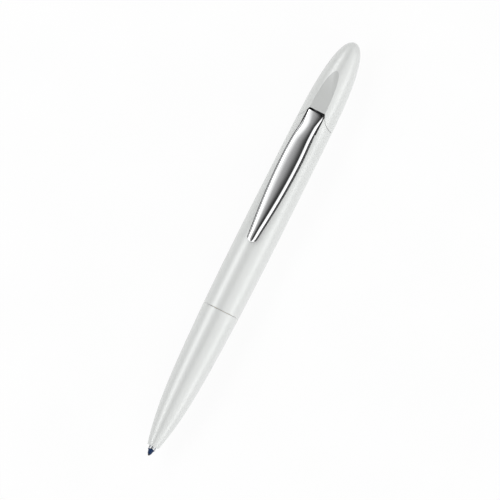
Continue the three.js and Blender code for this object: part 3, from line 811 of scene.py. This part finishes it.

# %% [markdown]
# ## Cap
# The cap is a shell with a domed crown. A flat is ground on its clip side, which falls very slightly
# towards the crown, and the ledge at its lower end stands a little above the clip. The shell is turned
# and hollowed, and then the flat and the flare are cut away. The hollow keeps a wall's thickness below
# the flat, so the wall stays whole. The flat gets a greyer lacquer, painted shade for how it faces the
# lights, and the inside gets black plastic, which paints shade into the gap under the ledge.

# %% Cap
cap_wall = 0.75
flat_height = math.sqrt(seam_radius ** 2 - clip_root_half ** 2) * snug
flat_fall = 0.28
flat_run = 12.2
flat_slope = -flat_fall / flat_run
side_steps = 30
dome_steps = 34
dome_start = 0.62
dome_share = 0.38
dome_gap = 0.2
dome = [on_curve(cap_curve, dome_start + dome_share * i / dome_steps) for i in range(dome_steps + 1)]
cap_side = along(cap_curve, mouth_at, dome[0][0] - dome_gap, side_steps)
cap_outline = [(mouth_at, 0.0), *cap_side, *dome]
cavity_start = mouth_at - overlap
cavity_end = 137.0
cavity_bend = cavity_end - 4
cavity_tip_radius = 1.5
cavity_steps = 16
cavity_outline = [
    (cavity_start, 0.0),
    (cavity_start, radius_at(cap_curve, mouth_at) - cap_wall),
    *along(cap_curve, mouth_at, cavity_bend, cavity_steps, cap_wall),
    (cavity_end, cavity_tip_radius),
    (cavity_end, 0.0),
]


def flat_line(at, below=0.0):
    """Height of the cap's flat at one place, or of a line so far below it."""
    return flat_height - below + flat_slope * (at - ledge_at)


def flat_cutter(start, below=0.0):
    """A wedge that lies on the cap's flat, from one place to past the crown."""
    mesh = box(start, crown_at + past, -past, past, 0, past)
    for vert in mesh.verts:
        at = (vert.co.x - tip_x) / MM
        if vert.co.z < axis_z + 0.5 * past * MM:
            vert.co.z = axis_z + flat_line(at, below) * MM
    return mesh


cap = as_object("cap_shell", turned(cap_outline, steps=shell_steps, closed=False))
cavity = as_object("cap_cavity", turned(cavity_outline, steps=64, closed=False))
hollow_flat_start = mouth_at - 5
flat_start = ledge_at - 3
cut(cavity, flat_cutter(hollow_flat_start, cap_wall))
cut(cap, cavity)
cut(cap, flat_cutter(flat_start))
flare_low = 0.2
flare_trim = [(mouth_at - past, flare_wide), *flare_edge(0)]
flare_trim += [(at, -side) for at, side in reversed(flare_edge(0))]
flare_trim.append((mouth_at - past, -flare_wide))
cut(cap, drawn(flare_trim, flare_low, past + overlap))
show(cap, pearl_lacquer, "stamp_head", "pearl_lacquer", "cap", sharp=18.0)
# Black plastic on the inner wall paints shade into the gap under the ledge.
cap.data.materials.append(black_plastic)
# The flat gets the darker lacquer, painted shade for how it faces the lights.
cap.data.materials.append(shaded_flat_lacquer)
inner_slot, flat_slot = 1, 2
level = 0.99
end_on = 0.5
rim = 0.1
wall_reach = cap_wall - 0.05
for face in cap.data.polygons:
    off_axis = math.hypot(face.center.y, face.center.z - axis_z) / MM
    at = (face.center.x - tip_x) / MM
    on_flat = face.normal.z > level and at > ledge_at
    inside = off_axis < radius_at(cap_curve, at) - wall_reach
    on_wall = mouth_at + rim < at < cavity_bend and abs(face.normal.x) < end_on
    if on_flat:
        face.material_index = flat_slot
    elif inside and on_wall:
        face.material_index = inner_slot
true_normals(cap, cap_curve)
print("cap faces:", len(cap.data.polygons))

# %% [markdown]
# ## Clip
# The clip is a flat chromed bar, a little crowned across its face, with a bevel along both edges and
# side walls that reach down to just above the barrel. It is widest below its root, narrows in a long
# curve to a rounded tip that turns down, and bends down at its root to hook into the notch. It is made by
# extruding one cross-section from station to station.

# %% Clip sizes
clip_length = 44.3
clip_tip_at = tongue_end - clip_length
clip_widest_at = tongue_end - 16.6
clip_bend_at = tongue_end - 7.3
clip_bend_length = 3.8
clip_descent_at = tongue_end - 10.6
clip_end = tongue_end - 0.4
clip_tip_half = 1.45
clip_widest = 3.3
clip_thickness = 1.4
clip_tip_thinning = 0.1
clip_tip_fall = 0.6
clip_tip_flat = 0.22
clip_root_thickness = 0.45
clip_root_step = 0.28
clip_bevel = 0.95
clip_root_bevel = 0.25
clip_taper_length = 5.5
clip_edge = 0.36
clip_crown = 0.15
clip_bevel_slope = 0.485
clip_wall_share = 0.75
clip_wall = 0.4
clip_foot_chamfer = 0.08
clip_face_steps = 6
most_bevel = 0.5
most_wall = 0.4
foot_chamfer = 0.2
wall_lean = 1.1
clip_under = belly_radius / snug + gap
root_under = math.sqrt(seam_radius ** 2 - clip_root_half ** 2) - clip_root_step - clip_root_thickness
print("clip underside:", round(clip_under, 2), "mm, at its root", round(root_under, 2), "mm above the axis")


def ease(share):
    """A share that starts and ends gently."""
    share = min(max(share, 0.0), 1.0)
    return share * share * (3 - 2 * share)


def between(first, second, share):
    """A value so far on the way from one to another."""
    return first + (second - first) * share


def clip_section(at):
    """Half of the clip's cross-section at one place: sides and heights from its middle outwards."""
    bend = ease((at - clip_bend_at) / clip_bend_length)
    descent = ease((at - clip_descent_at) / (tongue_end - clip_descent_at))
    from_tip = at - clip_tip_at
    to_widest = from_tip / (clip_widest_at - clip_tip_at)
    past_widest = (at - clip_widest_at) / (tongue_end - clip_widest_at)
    rounding = min(1.0, from_tip / clip_tip_half)
    tip_circle = math.sqrt(1 - (1 - rounding) ** 2)
    thinning = clip_tip_thinning * (1 - ease(to_widest))
    fall = clip_tip_fall * (1 - tip_circle)
    bottom = between(clip_under, root_under, bend)
    level_top = clip_under + clip_thickness - thinning - fall
    top = between(level_top, root_under + clip_root_thickness, descent)
    if at < clip_widest_at:
        half = between(clip_tip_half, clip_widest, math.sin(math.pi / 2 * to_widest))
    else:
        half = between(clip_widest, clip_root_half, ease(past_widest))
    half = max(clip_tip_flat, half * tip_circle)
    barrel_flank = math.sqrt(radius_at(barrel_curve, at) ** 2 - half ** 2)
    wall_foot = between(min(bottom, barrel_flank + gap), bottom, bend)
    narrowing = ease(1 - (tongue_end - at) / clip_taper_length)
    crown = clip_crown * min(1.0, half / clip_root_half)
    bevel = min(between(clip_bevel, clip_root_bevel, narrowing), half * most_bevel)
    edge = clip_edge * bevel / clip_bevel
    face = [(half - bevel) * i / clip_face_steps for i in range(clip_face_steps + 1)]
    upper = [(side, top - crown * (side / (half - bevel)) ** 2) for side in face]
    wall = min(clip_wall, half * most_wall)
    return upper + [
        (half - edge, top - crown - clip_bevel_slope * (bevel - edge)),
        (half, top - crown - clip_wall_share * bevel),
        (half, wall_foot + clip_foot_chamfer),
        (half - wall * foot_chamfer, wall_foot),
        (half - wall, wall_foot),
        (half - wall * wall_lean, bottom),
    ]


# %% Clip
def clip_ring(at):
    """The whole cross-section as points, once around."""
    half_ring = clip_section(at)
    left = [(-side, height) for side, height in reversed(half_ring[1:])]
    return [point(at, side, height) for side, height in half_ring + left]


def stations_between(start, end, steps):
    """Equal steps from one place to another, without the first place."""
    return [between(start, end, i / steps) for i in range(1, steps + 1)]


tip_steps = 12
body_steps = 44
bend_steps = 14
root_steps = 12
tip_turns = [math.pi / 2 * i / tip_steps for i in range(tip_steps + 1)]
tip_stations = [clip_tip_at + clip_tip_half * (1 - math.cos(turn)) for turn in tip_turns]
body_stations = stations_between(clip_tip_at + clip_tip_half, clip_bend_at, body_steps)
bend_stations = stations_between(clip_bend_at, clip_bend_at + clip_bend_length, bend_steps)
root_stations = stations_between(bend_stations[-1], clip_end, root_steps)
stations = tip_stations + body_stations + bend_stations + root_stations

clip_mesh = bmesh.new()
ring = [clip_mesh.verts.new(spot) for spot in clip_ring(stations[0])]
loop_edges = [clip_mesh.edges.new((a, b)) for a, b in zip(ring, ring[1:] + ring[:1])]
clip_mesh.faces.new(ring)
for at in stations[1:]:
    grown = bmesh.ops.extrude_edge_only(clip_mesh, edges=loop_edges)["geom"]
    new_verts = [item for item in grown if isinstance(item, bmesh.types.BMVert)]
    clip_mesh.verts.ensure_lookup_table()
    follow = {}
    for vert in ring:
        for edge in vert.link_edges:
            other = edge.other_vert(vert)
            if other in new_verts:
                follow[vert] = other
    ring = [follow[vert] for vert in ring]
    for vert, spot in zip(ring, clip_ring(at)):
        vert.co = spot
    loop_edges = [clip_mesh.edges.get((a, b)) for a, b in zip(ring, ring[1:] + ring[:1])]
clip_mesh.faces.new(ring)
bmesh.ops.recalc_face_normals(clip_mesh, faces=clip_mesh.faces)
clip = as_object("clip_bar", clip_mesh)
show(clip, chrome, "clip", "chrome", "clip", sharp=50.0)
clip.data.materials.append(shade_and_dark_metal)
dark_slot = 1
# Side walls, outer bevel facets and underside get the near-black metal: painted shade of the gap above the
# barrel.
steep = 0.7
for face in clip.data.polygons:
    if abs(face.normal.y) > steep or face.normal.z < -steep:
        face.material_index = dark_slot
print("clip faces:", len(clip.data.polygons))

# %% [markdown]
# ## Writing tip
# The refill ends in a small steel collar, a blue cone and the ball. Collar and cone are turned on a lathe,
# so they are spun here with many more steps than the CAD pieces have, and their edges are rounded. The
# cone is a little longer than in the CAD model, as the photograph shows it, and the collar starts behind
# it. The socket that holds the ball is bare dark metal, so the paint ends just short of it.

# %% Writing tip and its collar
def extent(node):
    """The box of a CAD node: two places, two sides and two heights in millimetres."""
    low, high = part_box(node)
    return (
        (low.x - tip_x) / MM, (high.x - tip_x) / MM, low.y / MM, high.y / MM,
        (low.z - axis_z) / MM, (high.z - axis_z) / MM,
    )


tip_front, spigot_end, _, _, _, _ = extent("writing_tip")
collar_front, collar_back, _, collar_side, _, _ = extent("tip_collar")
ring_front = collar_front + 0.4
ring_gap = 0.15
ring_side = 0.985 * collar_side
spigot_side = 0.5
spigot_hole = spigot_side + 0.15
hole_end = spigot_end + gap
socket_side = 0.48
shoulder_at = tip_front + 0.12
shoulder_side = 0.56
paint_start = tip_front + 0.22
cone_end = ring_front - ring_gap
cone_bend = cone_end - 0.6
cone_bend_side = 0.84
cone_back = cone_end - 0.1
cone_outline = [
    (tip_front, 0.0), (tip_front, socket_side), (shoulder_at, shoulder_side), (cone_bend, cone_bend_side),
    (cone_back, ring_side), (cone_end, ring_side), (cone_end, spigot_side),
    (spigot_end, spigot_side), (spigot_end, 0.0),
]
collar_outline = [
    (ring_front, spigot_hole), (ring_front, ring_side), (collar_back, ring_side), (collar_back, 0.0),
    (hole_end, 0.0), (hole_end, spigot_hole),
]
tip_round = 0.03
tip_turned_steps = 72
cone_mesh = turned(cone_outline, steps=tip_turned_steps, closed=False, soften=tip_round)
cone = as_object("tip_cone", cone_mesh)
show(cone, navy_metal, "refill", "navy_metal", "writing_tip")
cone.data.materials.append(shade_and_dark_metal)
for face in cone.data.polygons:
    if face.center.x < tip_x + paint_start * MM:
        face.material_index = dark_slot
collar = as_object("tip_ring", turned(collar_outline, steps=tip_turned_steps, soften=tip_round))
show(collar, steel, "refill", "steel", "tip_collar")
print("blue cone ends at", round(cone_end, 2), "mm, collar at", round(collar_back, 2), "mm")

# %% [markdown]
# ## Moulded and stamped pieces inside
# The pieces of the stamp and the drive already have their true shape in the CAD model, but its edges are
# knife-sharp. Each is copied, its loose triangles are merged into whole faces, and every sharp edge gets a
# small round, because real edges always catch a line of light.

# %% Softened copies of CAD pieces
def softened(node, finish, body, slot, width):
    """A copy of a CAD node with whole faces and rounded edges, which stands for the node."""
    mesh = bmesh.new()
    mesh.from_mesh(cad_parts[node].data)
    bmesh.ops.remove_doubles(mesh, verts=mesh.verts, dist=weld_distance)
    bmesh.ops.dissolve_limit(
        mesh, angle_limit=math.radians(0.5), verts=mesh.verts, edges=mesh.edges, delimit=set(),
        use_dissolve_boundaries=False,
    )
    ease_edges(mesh, width)
    show(as_object("soft_" + node, mesh), finish, body, slot, node)


head_pieces = {
    "arm": (black_plastic, "black_plastic", 0.1),
    "hinge_bracket": (black_plastic, "black_plastic", 0.09),
    "plate_carrier": (black_plastic, "black_plastic", 0.1),
    "pad_holder": (black_plastic, "black_plastic", 0.12),
    "pad_end_cap": (brown_plastic, "brown_plastic", 0.14),
    "head_core": (black_plastic, "black_plastic", 0.15),
    "arm_rivet": (steel, "steel", 0.06),
    "bracket_screw": (steel, "steel", 0.08),
    "head_collar": (steel, "steel", 0.05),
}
for node, (finish, slot, width) in head_pieces.items():
    softened(node, finish, "stamp_head", slot, width)
# The clip's anchor gets the near-black metal, painted shade in the gap under the cap's ledge.
softened("clip_anchor", shade_and_dark_metal, "pen_body", "steel", 0.06)
softened("bulkhead", black_plastic, "pen_body", "black_plastic", 0.08)
print("softened pieces:", len(head_pieces) + 2)

# %% [markdown]
# ## Finishes on the CAD pieces that stay
# Pins, springs, brass bushes and the refill are seen at most as a glint, and their CAD solids are fine
# enough. They keep their solids and get a finish in their material slot. The writing ball is
# hard metal, nearly black.

# %% Finishes on kept CAD pieces
kept_pieces = {
    "steel": (steel, ["plate_pin", "plate_spring", "pad_pin", "pad_spring", "return_spring"]),
    "brass": (brass, ["barrel_sleeve", "front_bush", "refill_tube"]),
    "black_plastic": (black_plastic, ["twist_cam"]),
    "white_plastic": (white_plastic, ["refill_plug", "refill_pusher"]),
}
for slot, (finish, names) in kept_pieces.items():
    for name in names:
        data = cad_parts[name].data
        data.materials.clear()
        data.materials.append(finish)
        data.shade_smooth()
        data.set_sharp_from_angle(angle=math.radians(crease_degrees))
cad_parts["writing_ball"].data.materials.clear()
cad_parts["writing_ball"].data.materials.append(shade_and_dark_metal)
print("CAD pieces kept:", 1 + sum(len(names) for _, names in kept_pieces.values()))

# %% [markdown]
# ## Stamp die
# The die is a rubber sheet on a foam cushion, with the lines of a stamp standing up from it. The
# lines are plain bars here, as on a sample plate, and a sine wave gives them uneven lengths. Each bar is
# extruded from the sheet's face and narrows a little towards its top, as moulded rubber does so that it
# leaves the mould.

# %% Foam, rubber sheet and bars
foam_round = 0.12
foam_mesh = box(*extent("die_backing"))
ease_edges(foam_mesh, foam_round, segments=3)
show(as_object("die_cushion", foam_mesh), foam, "stamp_head", "foam", "die_backing")

die_start, die_end, die_left, die_right, die_low, die_high = extent("text_die")
die_margin = 1.5
die_round = 0.08
bar_height = 0.2
bar_sunk = 0.1
bar_half = 0.62
bar_taper = 0.1
shortest_bar = 0.45
bar_variety = 0.35
number_turn = 2.1
line_turn = 1.3
text_lines = 3
text_bars = 9
line_pitch = 1.9
sheet_top = die_high - bar_height
bar_pitch = (die_end - die_start - 2 * die_margin) / text_bars
die_mesh = box(die_start, die_end, die_left, die_right, die_low, sheet_top)
ease_edges(die_mesh, die_round)
for line in range(text_lines):
    for number in range(text_bars):
        start = die_start + die_margin + number * bar_pitch
        wave = abs(math.sin(number_turn * number + line_turn * line))
        length = bar_pitch * (shortest_bar + bar_variety * wave)
        end = start + length
        middle = (line - 1) * line_pitch
        left, right = middle - bar_half, middle + bar_half
        corners = [
            die_mesh.verts.new(point(at, side, sheet_top - bar_sunk))
            for at, side in ((start, left), (end, left), (end, right), (start, right))
        ]
        foot = die_mesh.faces.new(corners)
        raised = bmesh.ops.extrude_face_region(die_mesh, geom=[foot])["geom"]
        tops = [item for item in raised if isinstance(item, bmesh.types.BMVert)]
        bmesh.ops.translate(die_mesh, verts=tops, vec=(0, 0, (die_high - sheet_top + bar_sunk) * MM))
        center = point(start + length / 2, middle, die_high)
        shrink = (1 - 2 * bar_taper / length, 1 - bar_taper / bar_half, 1)
        bmesh.ops.scale(die_mesh, vec=shrink, space=Matrix.Translation(-center), verts=tops)
bmesh.ops.recalc_face_normals(die_mesh, faces=die_mesh.faces)
show(as_object("die_sheet", die_mesh), die_rubber, "stamp_head", "die_rubber", "text_die")
print("bars on the die:", text_lines * text_bars)

# %% [markdown]
# ## Ink pad
# The pad is a strip of thick felt pressed into the holder's tray. Its corners are round, its edges sag and
# its face is slightly domed between them, so the strip is divided finely and each vertex sinks a little
# the nearer it lies to the edge. The powers say how close to the edge the sinking starts.

# %% Felt strip
felt_start, felt_end, felt_left, felt_right, felt_low, felt_high = extent("ink_pad")
felt_mesh = box(felt_start, felt_end, felt_left, felt_right, felt_low, felt_high)
felt_cuts = 23
bmesh.ops.subdivide_edges(felt_mesh, edges=felt_mesh.edges, cuts=felt_cuts, use_grid_fill=True)
felt_middle = (felt_low + felt_high) / 2
felt_half_length = (felt_end - felt_start) / 2
felt_sag = 0.16
end_power = 30
side_power = 8
for vert in felt_mesh.verts:
    end_share = abs((vert.co.x - tip_x) / MM - felt_start - felt_half_length) / felt_half_length
    side_share = abs(vert.co.y / MM) / felt_right
    height = (vert.co.z - axis_z) / MM
    sag = felt_sag * (end_share ** end_power + side_share ** side_power)
    vert.co.z = axis_z + (height - math.copysign(sag, height - felt_middle)) * MM
bmesh.ops.smooth_vert(
    felt_mesh, verts=felt_mesh.verts, factor=0.5, use_axis_x=False, use_axis_y=True, use_axis_z=True
)
felt = as_object("felt_strip", felt_mesh)
show(felt, ink_felt, "stamp_head", "ink_felt", "ink_pad", sharp=60.0)
print("felt faces:", len(felt.data.polygons))
